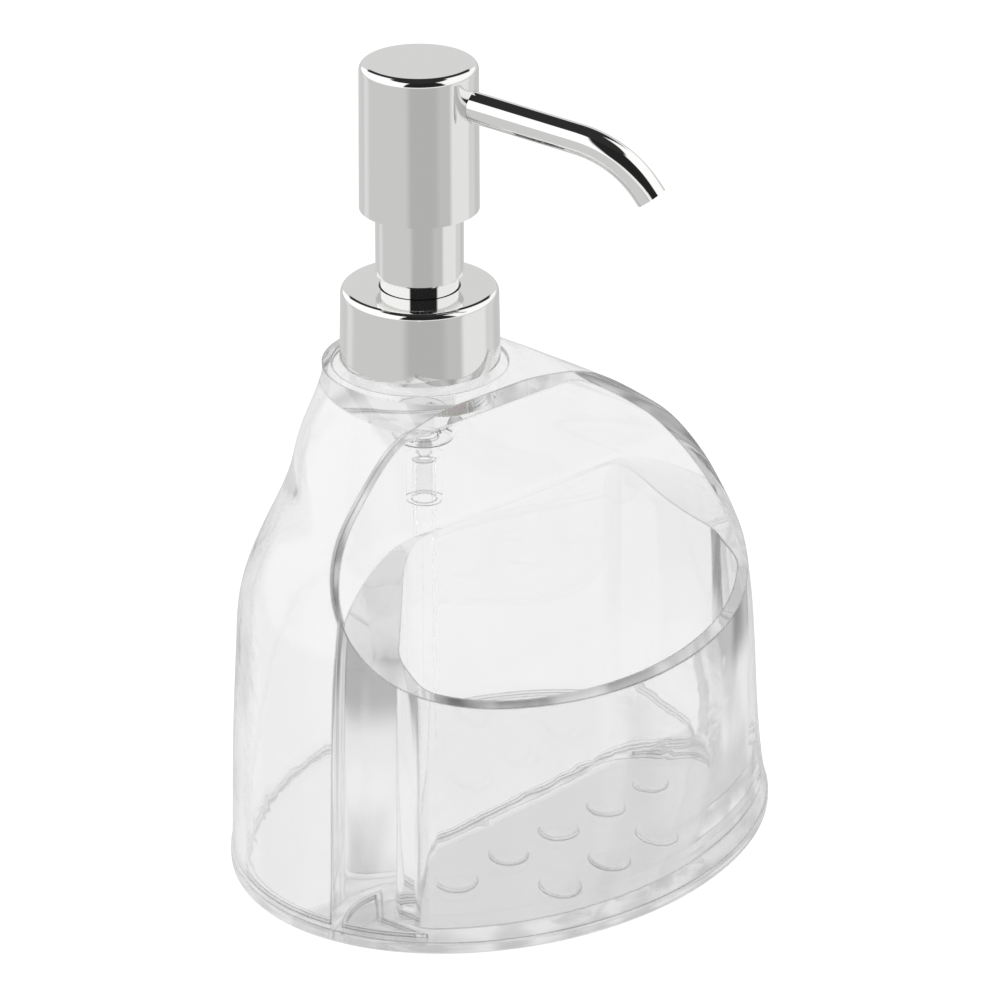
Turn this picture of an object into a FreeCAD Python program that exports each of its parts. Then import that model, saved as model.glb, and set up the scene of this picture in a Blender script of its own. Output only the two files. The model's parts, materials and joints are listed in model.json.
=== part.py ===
import FreeCAD, Part
import math
import os

# A free-standing soap dispenser with a sponge caddy: a clear moulded bottle on a
# welded base plate, and a chrome lotion pump that screws onto its neck.
# Millimetres. X is to the right seen from the front, -Y is the front with the
# caddy and the spout, +Z is up. The origin is where the pump's axis meets the
# surface that the dispenser stands on. At rest the head is turned to the right of
# straight ahead, as people leave it.

V = FreeCAD.Vector

# Bottle, driving sizes
body_height = 109.5
plate_thickness = 2.7
plate_flange = 0.4
plate_edge_round = 0.6
wall = 3.0
ceiling_wall = 4.0
inner_wall = 2.5
foot_half_width = 69.7
foot_back = 26.2
foot_front = 84.4
foot_widest = 28.9
ring_radius = 22.9

# Outline of the bottle from foot to neck ring. Heights are shares of the way up,
# widths of the way from ring to foot, the widest place and the front of the foot's.
station_height_shares = (0.0, 0.26, 0.52, 0.593, 0.677, 0.743, 0.817, 0.868, 0.942, 1.0)
station_width_shares = (1.0, 0.968, 0.921, 0.892, 0.805, 0.733, 0.668, 0.515, 0.27, 0.0)
station_widest_shares = (1.0, 0.941, 0.906, 0.886, 0.986, 1.336, 1.766, 1.331, 1.0, 0.0)
station_front_shares = (1.0, 0.953, 0.937, 0.93, 0.89, 0.84, 0.78, 0.72, 0.65, 0.489)
outline_points = 32
# The caddy's front follows the outline at this share of the height
caddy_outline_share = 0.52

# Swoop that opens the front: a leaning board, a wide bend and a lip
crest_gap = 1.7
board_lean_deg = 19.7
lip_inset = 3.6
lip_height = 56.4
lip_slope_deg = 10.6
bend_radius = 50.0

# Caddy cup and the partition behind it, seen from above
cup_back = 33.6
cup_end_inset = 20.3
cup_shoulder_run = 14.9
cup_shoulder_drop = 14.8
cup_back_round = 14.0
cup_shoulder_round = 5.0
cup_end_round = 6.0
partition_flat_inset = 4.5
partition_bend_radius = 55.0

# Pads on the caddy's floor
pad_radius = 4.6
pad_height = 0.9
pad_round = 0.6
pad_pitch = 16.0
pad_back_row_gap = 14.8
pad_row_gap = 16.6
pad_back_row_count = 5
pad_front_row_count = 3

# Weld rib that stands on the plate inside the walls
weld_rib_height = 0.9
weld_rib_width = 1.0
weld_rib_clearance = 0.3

# Neck
recess_depth = 0.8
ring_rim_width = 2.3
neck_outer_radius = 12.9
neck_wall = 2.0
neck_bead_reach = 2.3
neck_bead_height = 1.4
neck_bead_above_floor = 1.0

# Collar and its threaded insert
collar_height = 17.7
collar_gap = 2.1
collar_draft = 0.4
collar_round = 1.7
collar_wall = 1.3
collar_side_wall = 1.65
insert_clearance = 0.1
insert_top = 1.4
insert_wall = 2.4
insert_bore_clearance = 1.3
collar_hole_clearance = 0.3
insert_lift = 0.8

# Pump housing
stack_gap = 0.1
gasket_thickness = 1.0
gasket_clearance = 0.2
flange_thickness = 1.2
housing_clearance = 1.9
upper_depth = 5.0
upper_wall = 1.0
barrel_step = 1.4
barrel_wall = 1.0
cone_depth = 5.0
cone_lip = 1.0
socket_wall = 1.55
socket_depth = 12.0
seat_bore_radius = 1.5

# Dip tube
tube_radius = 2.7
tube_wall = 0.8
tube_foot_gap = 2.8
tube_fit = 0.05

# Chrome guide sleeve and the chaplet that snaps into the housing
groove_radius = 9.2
groove_height = 3.0
sleeve_step = 1.0
sleeve_height = 19.2
sleeve_wall = 1.5
sleeve_round = 0.4
chaplet_wall = 1.1
chaplet_height = 9.6
chaplet_nose = 1.8
chaplet_fit = 0.05
guide_clearance = 0.2

# Plunger
stroke = 13.0
stem_radius = 3.9
stem_wall = 1.7
stem_chamber_depth = 4.2
stem_chamber_clearance = 0.7
outlet_lip = 0.5
outlet_lip_height = 1.0
piston_height = 6.0
piston_clearance = 0.05
piston_gap_to_chaplet = 0.4
piston_lip = 1.2
piston_hub_wall = 1.4
foot_height = 3.0
foot_wall = 1.0
foot_flange_height = 1.2
foot_rest_gap = 1.3

# Return spring round the stem, inside the guide sleeve
spring_wire = 0.9
spring_clearance = 0.75
spring_turn_count = 6
spring_end_gap = 0.3

# Ball valves
cage_height = 3.0
cage_slot_width = 1.6
cage_fit = 0.05
cage_clearance = 1.0
ball_radius = 2.2
ball_lift = 1.5
ball_gap = 0.05

# Head and spout
head_rest_gap = 3.4
head_height = 35.1
head_clearance = 2.22
head_draft = 0.25
head_round = 2.0
head_wall = 1.2
core_fit = 0.05
core_depth = 12.5
core_web = 1.5
core_boss_wall = 1.65
stem_below_core_top = 13.3
stem_grip = 8.2
core_channel_radius = 1.9
core_rib_count = 4
spout_turn_deg = 24.0
spout_radius = 3.57
spout_wall = 1.0
spout_exit_drop = 8.95
spout_fall_deg = 8.4
spout_straight_reach = 39.3
spout_bend_radius = 25.4
spout_bend_deg = 44.3
spout_tip_length = 2.0
spout_seat = 6.5
spout_fit = 0.05

# Cutting tools reach this far past what they cut
overrun = 1.0


def ring_between(outer, inner, bottom, top):
    """A tube about the pump axis, or a disc where inner is zero."""
    solid = Part.makeCylinder(outer, top - bottom, V(0, 0, bottom))
    if inner > 0:
        length = top - bottom + 2 * overrun
        solid = solid.cut(Part.makeCylinder(inner, length, V(0, 0, bottom - overrun)))
    return solid


def revolved(points):
    """Turn a closed outline of (radius, height) pairs about the pump axis."""
    corners = [V(radius, 0, height) for radius, height in points]
    corners.append(corners[0])
    face = Part.Face(Part.makePolygon(corners))
    return face.revolve(V(0, 0, 0), V(0, 0, 1), 360)


def turned(shape):
    """A piece of the head, turned about the pump axis to where the spout points at rest."""
    return shape.rotated(V(0, 0, 0), V(0, 0, 1), spout_turn_deg)


def write(name, shape):
    """Save one node, as its solid or its group of solids."""
    solids = shape.Solids
    shape = solids[0] if len(solids) == 1 else Part.makeCompound(solids)
    shape.exportStep("parts/" + name + ".step")
    print(name, "solids", len(solids), "volume", round(shape.Volume, 1), shape.isValid())


# Places on the bottle that several of its features share
crest_forward = ring_radius + crest_gap
lip_forward = foot_front - lip_inset
cup_end_half = foot_half_width - cup_end_inset
cup_flat_half = cup_end_half - cup_shoulder_run
cup_shoulder_forward = cup_back + cup_shoulder_drop
partition_flat_half = cup_flat_half - partition_flat_inset

# Radii that several pieces share
recess_radius = ring_radius - ring_rim_width
neck_bore_radius = neck_outer_radius - neck_wall
neck_bead_radius = neck_outer_radius + neck_bead_reach
insert_bore_radius = neck_outer_radius + insert_bore_clearance
insert_radius = insert_bore_radius + insert_wall
collar_bore_radius = insert_radius + insert_clearance
collar_top_radius = collar_bore_radius + collar_side_wall
upper_radius = neck_bore_radius - housing_clearance
barrel_radius = upper_radius - barrel_step
barrel_bore_radius = barrel_radius - barrel_wall
sleeve_radius = groove_radius + sleeve_step
head_bore_radius = sleeve_radius + head_clearance
stem_bore_radius = stem_radius - stem_wall
spring_radius = stem_radius + spring_clearance + spring_wire / 2
core_boss_radius = stem_radius + core_fit + core_boss_wall

# Heights that several pieces share
body_rise = body_height - plate_thickness
neck_floor = body_height - recess_depth
collar_bottom = neck_floor + collar_gap
collar_top = collar_bottom + collar_height
insert_top_height = collar_top - collar_wall
insert_underside = insert_top_height - insert_top
flange_top = insert_underside - stack_gap
flange_bottom = flange_top - flange_thickness
neck_top = flange_bottom - gasket_thickness
upper_bottom = flange_bottom - upper_depth
chaplet_bottom = upper_bottom - chaplet_nose
chaplet_top = flange_top + chaplet_height
piston_top = chaplet_bottom - piston_gap_to_chaplet
piston_bottom = piston_top - piston_height
foot_bottom = piston_bottom - foot_height
cage_top = foot_bottom - stroke - foot_rest_gap
barrel_bottom = cage_top - cage_height
seat_bottom = barrel_bottom - cone_depth
socket_bottom = seat_bottom - socket_depth
sleeve_shoulder = collar_top + groove_height
sleeve_top = sleeve_shoulder + sleeve_height
head_bottom_height = sleeve_shoulder + stroke + head_rest_gap
head_top = head_bottom_height + head_height
core_top = head_top - head_wall
stem_top_height = core_top - stem_below_core_top
boss_bottom = stem_top_height - stem_grip
spout_exit_height = head_top - spout_exit_drop


def station(index):
    """Height, half width, widest place, back and front reach of one outline."""
    rise = station_height_shares[index]
    height = plate_thickness + rise * body_rise
    half_width = ring_radius + station_width_shares[index] * (foot_half_width - ring_radius)
    widest = -station_widest_shares[index] * foot_widest
    back = foot_back + rise * (ring_radius - foot_back) - widest
    front = station_front_shares[index] * (foot_front - foot_widest)
    return height, half_width, widest, back, front


def outline_curve(height, half_width, widest, back, front):
    """A closed curve of two half ellipses that meet at the widest place."""
    points = []
    for step in range(outline_points):
        angle = 2 * math.pi * step / outline_points
        depth = back if math.sin(angle) > 0 else front
        points.append(V(half_width * math.cos(angle), widest + depth * math.sin(angle), height))
    steps = [step / outline_points for step in range(outline_points + 1)]
    curve = Part.BSplineCurve()
    curve.interpolate(Points=points, PeriodicFlag=True, Parameters=steps)
    return curve


def skinned(curves, heights):
    """A solid whose side passes through level curves that share their knots."""
    columns = []
    for pole in range(curves[0].NbPoles):
        column = Part.BSplineCurve()
        column.interpolate(Points=[curve.getPole(pole + 1) for curve in curves], Parameters=heights)
        columns.append(column)
    around = curves[0]
    upward = columns[0]
    surface = Part.BSplineSurface()
    surface.buildFromPolesMultsKnots(
        [column.getPoles() for column in columns],
        around.getMultiplicities(),
        upward.getMultiplicities(),
        around.getKnots(),
        upward.getKnots(),
        True,
        False,
        around.Degree,
        upward.Degree,
    )
    caps = [Part.Face(Part.Wire([curve.toShape()])) for curve in (curves[0], curves[-1])]
    shell = Part.Shell([surface.toShape()] + caps)
    shell.sewShape()
    return Part.Solid(shell)


def bottle_form(inset):
    """The bottle's outside, or its inside when inset along the wall's normal."""
    curves = []
    heights = []
    last = len(station_height_shares) - 1
    for index in range(last + 1):
        height, half_width, widest, back, front = station(index)
        below = station(max(index - 1, 0))
        above = station(min(index + 1, last))
        lean = math.atan2(below[1] - above[1], above[0] - below[0])
        drop = inset * math.sin(lean) if index > 0 else 0
        narrow = inset * math.cos(lean)
        level = height - drop
        curve = outline_curve(level, half_width - narrow, widest, back - narrow, front - narrow)
        curves.append(curve)
        heights.append(level)
    return skinned(curves, heights)


def swoop_block(inset):
    """All that lies in front of the board and above the lip, less an inset."""
    lean = math.radians(board_lean_deg)
    slope = math.radians(lip_slope_deg)
    down = (-math.sin(lean), -math.cos(lean))
    ahead = (-math.cos(slope), -math.sin(slope))
    crest = (-crest_forward + inset * math.cos(lean), body_height - inset * math.sin(lean))
    lip = (-lip_forward + inset * math.sin(slope), lip_height - inset * math.cos(slope))
    # Where the board's line and the lip's line cross
    cross = down[0] * ahead[1] - down[1] * ahead[0]
    gap = (lip[0] - crest[0], lip[1] - crest[1])
    run = (gap[0] * ahead[1] - gap[1] * ahead[0]) / cross
    corner = (crest[0] + run * down[0], crest[1] + run * down[1])
    turn = math.acos(down[0] * ahead[0] + down[1] * ahead[1])
    radius = bend_radius + inset
    tangent = radius * math.tan(turn / 2)
    apex = radius * (1 / math.cos(turn / 2) - 1)
    middle = (ahead[0] - down[0], ahead[1] - down[1])
    length = math.hypot(*middle)
    start = (corner[0] - tangent * down[0], corner[1] - tangent * down[1])
    mid = (corner[0] + apex * middle[0] / length, corner[1] + apex * middle[1] / length)
    end = (corner[0] + tangent * ahead[0], corner[1] + tangent * ahead[1])
    top = (corner[0] - body_height * down[0], corner[1] - body_height * down[1])
    tip = (corner[0] + foot_front * ahead[0], corner[1] + foot_front * ahead[1])
    width = 2 * (foot_half_width + overrun)
    side = -width / 2
    edges = [
        Part.LineSegment(V(side, *top), V(side, *start)).toShape(),
        Part.Arc(V(side, *start), V(side, *mid), V(side, *end)).toShape(),
        Part.LineSegment(V(side, *end), V(side, *tip)).toShape(),
        Part.LineSegment(V(side, *tip), V(side, tip[0], top[1])).toShape(),
        Part.LineSegment(V(side, tip[0], top[1]), V(side, *top)).toShape(),
    ]
    return Part.Face(Part.Wire(edges)).extrude(V(width, 0, 0))


def front_zone(shift):
    """Everything in front of the partition, whose ends bend forward."""
    reach = foot_half_width + overrun - partition_flat_half
    sweep = math.asin(reach / partition_bend_radius)
    flat = -cup_back + shift
    centre = flat - partition_bend_radius
    side = partition_flat_half + reach
    end = centre + partition_bend_radius * math.cos(sweep)
    half_y = centre + partition_bend_radius * math.cos(sweep / 2)
    half_x = partition_flat_half + partition_bend_radius * math.sin(sweep / 2)
    front = -foot_front - overrun
    edges = [
        Part.LineSegment(V(-partition_flat_half, flat, 0), V(partition_flat_half, flat, 0)).toShape(),
        Part.Arc(V(partition_flat_half, flat, 0), V(half_x, half_y, 0), V(side, end, 0)).toShape(),
        Part.LineSegment(V(side, end, 0), V(side, front, 0)).toShape(),
        Part.LineSegment(V(side, front, 0), V(-side, front, 0)).toShape(),
        Part.LineSegment(V(-side, front, 0), V(-side, end, 0)).toShape(),
        Part.Arc(V(-side, end, 0), V(-half_x, half_y, 0), V(-partition_flat_half, flat, 0)).toShape(),
    ]
    return Part.Face(Part.Wire(edges)).extrude(V(0, 0, body_height))


def cup_polygon(offset):
    """The cup's back, slanted shoulders and ends as a prism that is open ahead."""
    slant = math.atan2(cup_shoulder_forward - cup_back, cup_end_half - cup_flat_half)
    back = -cup_back + offset
    flat_half = cup_flat_half + offset * math.tan(slant / 2)
    shoulder = -cup_shoulder_forward + offset * math.tan((math.pi / 2 - slant) / 2)
    front = -foot_front - overrun
    corners = [(flat_half, back), (cup_end_half + offset, shoulder), (cup_end_half + offset, front)]
    corners += [(-x, y) for x, y in reversed(corners)]
    points = [V(x, y, plate_thickness) for x, y in corners]
    points.append(points[0])
    return Part.Face(Part.makePolygon(points)).extrude(V(0, 0, body_height))


def upright_edges(solid, x, y):
    """Upright edges at a place seen from above and at its mirror place."""
    found = []
    for edge in solid.Edges:
        first = edge.Vertexes[0].Point
        second = edge.Vertexes[-1].Point
        upright = math.hypot(first.x - second.x, first.y - second.y) < overrun
        if upright and math.hypot(abs(first.x) - x, first.y - y) < overrun:
            found.append(edge)
    return found


def cup_prism():
    """The sponge caddy's room: flat back, slanted shoulders and a curved front."""
    index = station_height_shares.index(caddy_outline_share)
    _, half_width, widest, _, front = station(index)
    wide = half_width - wall
    deep = front - wall
    curve = Part.Ellipse(V(0, widest, plate_thickness), wide, deep)
    oval = Part.Face(Part.Wire([curve.toShape()])).extrude(V(0, 0, body_height))
    cup = cup_polygon(0).common(oval)
    end_y = widest - deep * math.sqrt(1 - (cup_end_half / wide) ** 2)
    cup = cup.makeFillet(cup_back_round, upright_edges(cup, cup_flat_half, -cup_back))
    cup = cup.makeFillet(cup_shoulder_round, upright_edges(cup, cup_end_half, -cup_shoulder_forward))
    return cup.makeFillet(cup_end_round, upright_edges(cup, cup_end_half, end_y))


def bottle_voids():
    """The reservoir and the two closed cells beside the cup."""
    wide = 2 * foot_half_width
    below_neck = Part.makeBox(wide, wide, neck_floor - ceiling_wall - plate_thickness)
    below_neck.translate(V(-foot_half_width, -foot_half_width - foot_widest, plate_thickness))
    inside = bottle_form(wall).common(below_neck).cut(swoop_block(wall))
    reservoir = inside.cut(front_zone(wall))
    cells = inside.common(front_zone(0)).cut(cup_polygon(inner_wall))
    return reservoir.Solids[0], cells


def body_shell(reservoir, cells):
    """The clear moulding with its neck, arch, caddy cup and hollow inside."""
    body = bottle_form(0).cut(swoop_block(0))
    body = body.cut(ring_between(recess_radius, 0, neck_floor, body_height + overrun))
    neck = ring_between(neck_outer_radius, 0, neck_floor - overrun, neck_top)
    bead_bottom = neck_floor + neck_bead_above_floor
    bead = ring_between(neck_bead_radius, 0, bead_bottom, bead_bottom + neck_bead_height)
    body = body.fuse(neck.fuse(bead).removeSplitter())
    body = body.cut(cup_prism()).cut(cells).cut(reservoir)
    ceiling = neck_floor - ceiling_wall
    return body.cut(ring_between(neck_bore_radius, 0, ceiling - overrun, neck_top + overrun))


def foot_prism(inset):
    """The foot's outline, two half ellipses, less an inset, as an upright prism."""
    height, half_width, widest, back, front = station(0)
    centre = V(0, widest, height)
    sides = []
    for depth, first in ((back - inset, 0), (front - inset, math.pi)):
        oval = Part.Ellipse(centre, half_width - inset, depth)
        sides.append(Part.ArcOfEllipse(oval, first, first + math.pi).toShape())
    return Part.Face(Part.Wire(sides)).extrude(V(0, 0, weld_rib_height))


def base_plate():
    """The welded base with pads for the sponge and ribs inside the walls."""
    wide = foot_half_width + plate_flange
    deep = (foot_back + foot_front) / 2 + plate_flange
    middle = (foot_back - foot_front) / 2
    curve = Part.Ellipse(V(0, middle, 0), wide, deep)
    plate = Part.Face(Part.Wire([curve.toShape()])).extrude(V(0, 0, plate_thickness))
    plate = plate.makeFillet(plate_edge_round, plate.Edges)
    back_row = cup_back + pad_back_row_gap
    rows = [(pad_back_row_count, back_row), (pad_front_row_count, back_row + pad_row_gap)]
    for count, forward in rows:
        for place in range(count):
            x = (place - (count - 1) / 2) * pad_pitch
            plate = plate.fuse(pad(x, -forward))
    for rib in weld_ribs():
        plate = plate.fuse(rib)
    return plate.removeSplitter()


def pad(x, y):
    """A low round pad whose top edge is rounded."""
    sunk = plate_thickness / 2
    solid = Part.makeCylinder(pad_radius, pad_height + sunk, V(x, y, plate_thickness - sunk))
    top = [edge for edge in solid.Edges if edge.BoundBox.ZMin > plate_thickness]
    return solid.makeFillet(pad_round, top)


def floor_of_voids(inset):
    """The floors of the reservoir and of the two cells, less an inset, as low prisms."""
    inside = foot_prism(wall + inset)
    reservoir = inside.cut(front_zone(wall + inset))
    cells = inside.common(front_zone(-inset)).cut(cup_polygon(inner_wall + inset))
    return reservoir.fuse(cells)


def weld_ribs():
    """Ribs that run round inside each hollow, clear of its walls."""
    ribs = floor_of_voids(weld_rib_clearance).cut(floor_of_voids(weld_rib_clearance + weld_rib_width))
    return ribs.Solids


def capped_cone(bottom_radius, top_radius, bottom, top, top_round):
    """A slightly tapered drum about the pump axis with a rounded top rim."""
    height = top - bottom
    solid = Part.makeCone(bottom_radius, top_radius, height, V(0, 0, bottom))
    middle = (top + bottom) / 2
    rim = [edge for edge in solid.Edges if edge.BoundBox.ZMin > middle]
    return solid.makeFillet(top_round, rim)


def collar_shell():
    """The plated cover of the screw collar."""
    foot_radius = collar_top_radius + collar_draft
    solid = capped_cone(foot_radius, collar_top_radius, collar_bottom, collar_top, collar_round)
    solid = solid.cut(ring_between(collar_bore_radius, 0, collar_bottom - overrun, insert_top_height))
    hole = groove_radius + collar_hole_clearance
    return solid.cut(ring_between(hole, 0, collar_bottom, collar_top + overrun))


def closure_insert():
    """The threaded cap inside the collar, with its thread left out."""
    hole = groove_radius + collar_hole_clearance
    bottom = collar_bottom + insert_lift
    outline = [
        (hole, insert_top_height),
        (hole, insert_underside),
        (insert_bore_radius, insert_underside),
        (insert_bore_radius, bottom),
        (insert_radius, bottom),
        (insert_radius, insert_top_height),
    ]
    return revolved(outline)


def neck_gasket():
    """The flat seal between the neck and the housing's flange."""
    return ring_between(neck_outer_radius, upper_radius + gasket_clearance, neck_top, flange_bottom)


def pump_housing():
    """Flange, upper cup, barrel, cone with the ball's seat, and tube socket."""
    upper_bore = upper_radius - upper_wall
    socket_bore = tube_radius + tube_fit
    socket_radius = socket_bore + socket_wall
    outline = [
        (upper_bore, flange_top),
        (neck_outer_radius, flange_top),
        (neck_outer_radius, flange_bottom),
        (upper_radius, flange_bottom),
        (upper_radius, upper_bottom),
        (barrel_radius, upper_bottom - barrel_step),
        (barrel_radius, barrel_bottom),
        (socket_radius, seat_bottom),
        (socket_radius, socket_bottom),
        (socket_bore, socket_bottom),
        (socket_bore, seat_bottom - seat_bore_radius),
        (seat_bore_radius, seat_bottom - seat_bore_radius),
        (seat_bore_radius, seat_bottom),
        (barrel_bore_radius - cone_lip, barrel_bottom - cone_lip),
        (barrel_bore_radius, barrel_bottom - cone_lip),
        (barrel_bore_radius, upper_bottom),
        (upper_bore, upper_bottom + barrel_step),
    ]
    return revolved(outline)


def dip_tube():
    """The straight tube that reaches almost to the floor of the reservoir."""
    bottom = plate_thickness + tube_foot_gap
    top = seat_bottom - seat_bore_radius - tube_fit
    return ring_between(tube_radius, tube_radius - tube_wall, bottom, top)


def guide_sleeve():
    """The chrome tube that shows between collar and head, with its groove."""
    bore = sleeve_radius - sleeve_wall
    low_bore = groove_radius - chaplet_wall
    outline = [
        (low_bore, flange_top),
        (groove_radius, flange_top),
        (groove_radius, sleeve_shoulder),
        (sleeve_radius - sleeve_round, sleeve_shoulder),
        (sleeve_radius, sleeve_shoulder + sleeve_round),
        (sleeve_radius, sleeve_top - sleeve_round),
        (sleeve_radius - sleeve_round, sleeve_top),
        (bore, sleeve_top),
        (bore, sleeve_shoulder + sleeve_wall),
        (low_bore, sleeve_shoulder + sleeve_wall),
    ]
    return revolved(outline)


def chaplet():
    """The plug that closes the housing and guides the stem."""
    plug = upper_radius - upper_wall - chaplet_fit
    outer = groove_radius - chaplet_wall - chaplet_fit
    guide = stem_radius + guide_clearance
    nose = barrel_bore_radius - chaplet_fit
    bore = barrel_bore_radius - upper_wall
    outline = [
        (guide, chaplet_top),
        (outer, chaplet_top),
        (outer, flange_top + chaplet_fit),
        (plug, flange_top),
        (plug, upper_bottom + barrel_step + chaplet_fit),
        (nose, upper_bottom + chaplet_fit),
        (nose, chaplet_bottom),
        (bore, chaplet_bottom),
        (bore, flange_top),
        (guide, flange_top + chaplet_wall),
    ]
    return revolved(outline)


def ball_cage():
    """The slotted ring that keeps the inlet ball from rising past its travel."""
    outer = barrel_bore_radius - cage_fit
    room = ball_radius + cage_clearance
    bottom = barrel_bottom - cone_lip + cage_fit
    hole = seat_bore_radius
    solid = ring_between(outer, 0, bottom, cage_top)
    cap = math.sqrt(ball_radius ** 2 - hole ** 2)
    room_top = inlet_centre() + ball_lift + ball_gap + cap
    solid = solid.cut(ring_between(room, 0, bottom - overrun, room_top))
    solid = solid.cut(ring_between(hole, 0, bottom, cage_top + overrun))
    slot = Part.makeBox(2 * room + 2 * overrun, cage_slot_width, 2 * cage_height)
    slot.translate(V(-room - overrun, -cage_slot_width / 2, bottom - overrun))
    return solid.cut(slot)


def inlet_centre():
    """Height of the inlet ball's centre when it rests on the housing's cone."""
    rise = (barrel_bottom - cone_lip) - seat_bottom
    spread = (barrel_bore_radius - cone_lip) - seat_bore_radius
    half = math.atan2(spread, rise)
    # The ball touches the cone where its normal meets the axis
    axis_point = seat_bottom - seat_bore_radius / math.tan(half)
    return axis_point + (ball_radius + ball_gap) / math.sin(half)


def inlet_ball():
    """The ball that lets soap up into the barrel."""
    return Part.makeSphere(ball_radius, V(0, 0, inlet_centre()))


def outlet_seat():
    """Height of the step on which the outlet ball rests in the stem."""
    return stem_top_height - stem_chamber_depth


def outlet_ball():
    """The ball at the top of the stem that keeps the spout from draining."""
    seat = stem_bore_radius - outlet_lip
    rise = math.sqrt((ball_radius + ball_gap) ** 2 - seat ** 2)
    return Part.makeSphere(ball_radius, V(0, 0, outlet_seat() + rise))


def stem():
    """The hollow rod from the piston up into the head."""
    seat = stem_bore_radius - outlet_lip
    chamber = ball_radius + stem_chamber_clearance
    lip_bottom = outlet_seat() - outlet_lip_height
    outline = [
        (stem_bore_radius, piston_bottom),
        (stem_radius, piston_bottom),
        (stem_radius, stem_top_height),
        (chamber, stem_top_height),
        (chamber, outlet_seat()),
        (seat, outlet_seat()),
        (seat, lip_bottom),
        (stem_bore_radius, lip_bottom - outlet_lip),
    ]
    return revolved(outline)


def piston():
    """The sealing sleeve on the stem, with a lip at each end."""
    inner = stem_radius
    hub = stem_radius + piston_hub_wall
    lip = barrel_bore_radius - piston_clearance
    outline = [
        (inner, piston_bottom),
        (lip, piston_bottom),
        (lip, piston_bottom + piston_lip),
        (hub, piston_bottom + 2 * piston_lip),
        (hub, piston_top - 2 * piston_lip),
        (lip, piston_top - piston_lip),
        (lip, piston_top),
        (inner, piston_top),
    ]
    return revolved(outline)


def stem_foot():
    """The foot pressed into the stem, whose flange holds the piston from below."""
    bore = stem_bore_radius - foot_wall
    flange_low = piston_bottom - foot_flange_height
    flange = stem_radius + piston_hub_wall - piston_clearance
    outline = [
        (bore, foot_bottom),
        (stem_bore_radius, foot_bottom),
        (stem_radius, flange_low),
        (flange, flange_low),
        (flange, piston_bottom),
        (stem_bore_radius, piston_bottom),
        (stem_bore_radius, piston_top),
        (bore, piston_top),
    ]
    return revolved(outline)


def return_spring():
    """The coil that lifts the head, one unbroken wire from chaplet to head core."""
    low = chaplet_top + spring_wire / 2 + spring_end_gap
    high = boss_bottom - spring_wire / 2 - spring_end_gap
    pitch = (high - low) / spring_turn_count
    helix = Part.makeHelix(pitch, high - low, spring_radius)
    helix.translate(V(0, 0, low))
    slope = V(0, 2 * math.pi * spring_radius, pitch)
    section = Part.Wire([Part.Circle(V(spring_radius, 0, low), slope, spring_wire / 2).toShape()])
    least_gap = pitch * math.cos(math.atan2(pitch, slope.y)) - spring_wire
    print("return_spring least gap between turns", round(least_gap, 2))
    return Part.Wire(helix.Edges).makePipeShell([section], True, True)


def spout_line():
    """Where the spout starts, bends and ends, from the pump axis forward."""
    fall = math.radians(spout_fall_deg)
    bend = math.radians(spout_bend_deg)
    head_side = head_bore_radius + head_wall
    start_y = spout_seat
    start_z = spout_exit_height + (head_side - start_y) * math.tan(fall)
    bend_z = spout_exit_height - (spout_straight_reach - head_side) * math.tan(fall)
    centre_y = spout_straight_reach - spout_bend_radius * math.sin(fall)
    centre_z = bend_z - spout_bend_radius * math.cos(fall)
    points = []
    for share in (0.5, 1.0):
        angle = fall + bend * share
        y = centre_y + spout_bend_radius * math.sin(angle)
        z = centre_z + spout_bend_radius * math.cos(angle)
        points.append((y, z))
    final = fall + bend
    tip_y = points[1][0] + spout_tip_length * math.cos(final)
    tip_z = points[1][1] - spout_tip_length * math.sin(final)
    places = [(start_y, start_z), (spout_straight_reach, bend_z)] + points + [(tip_y, tip_z)]
    return [V(0, -y, z) for y, z in places]


def spout():
    """The bent chrome tube, cut off square at its tip."""
    start, bend, middle, straight, tip = spout_line()
    path = Part.Wire([
        Part.LineSegment(start, bend).toShape(),
        Part.Arc(bend, middle, straight).toShape(),
        Part.LineSegment(straight, tip).toShape(),
    ])
    pipes = []
    for radius in (spout_radius, spout_radius - spout_wall):
        section = Part.Wire([Part.Circle(start, bend - start, radius).toShape()])
        pipes.append(path.makePipeShell([section], True, False))
    return pipes[0].cut(pipes[1])


def spout_hole(clearance):
    """The straight hole in which the spout sits, from its seat outwards."""
    start, bend = spout_line()[:2]
    return Part.makeCylinder(spout_radius + clearance, 2 * head_bore_radius, start, bend - start)


def head_shell():
    """The plated cover of the head: a deep cup, open below."""
    top_radius = head_bore_radius + head_wall
    bottom_radius = top_radius + head_draft
    solid = capped_cone(bottom_radius, top_radius, head_bottom_height, head_top, head_round)
    solid = solid.cut(ring_between(head_bore_radius, 0, head_bottom_height - overrun, core_top))
    return solid.cut(spout_hole(spout_fit))


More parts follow.
